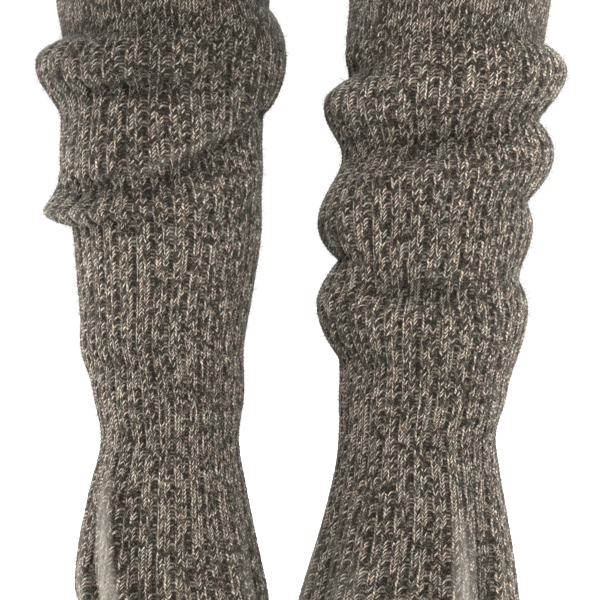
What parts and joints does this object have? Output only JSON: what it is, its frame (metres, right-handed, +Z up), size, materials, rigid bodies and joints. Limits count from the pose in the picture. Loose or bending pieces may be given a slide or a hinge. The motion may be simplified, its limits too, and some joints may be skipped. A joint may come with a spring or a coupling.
{
  "type": "pair of leg warmers",
  "caption": "Pair of marled wool leg warmers in the slouched, hollow form they take when worn: plain knitted top band, ribbed leg and flared open hem.",
  "frame": {"origin": "midway between the two top bands, at the level where the bands grip the calves", "axes": "+Z up along the legs, +X from the warmer on the left to the one on the right as seen from the front, -Y the front"},
  "size_m": [0.3068, 0.1382, 0.389],
  "materials": {
    "plain_knit": "plain knit of marled wool, dark brown and beige plies, soft nap",
    "ribbed_knit": "two by one rib of marled wool, dark brown and beige plies, soft nap"
  },
  "bodies": {
    "root": {"left_top_band": "plain_knit", "left_ribbed_leg": "ribbed_knit", "right_top_band": "plain_knit", "right_ribbed_leg": "ribbed_knit"}
  },
  "joints": []
}
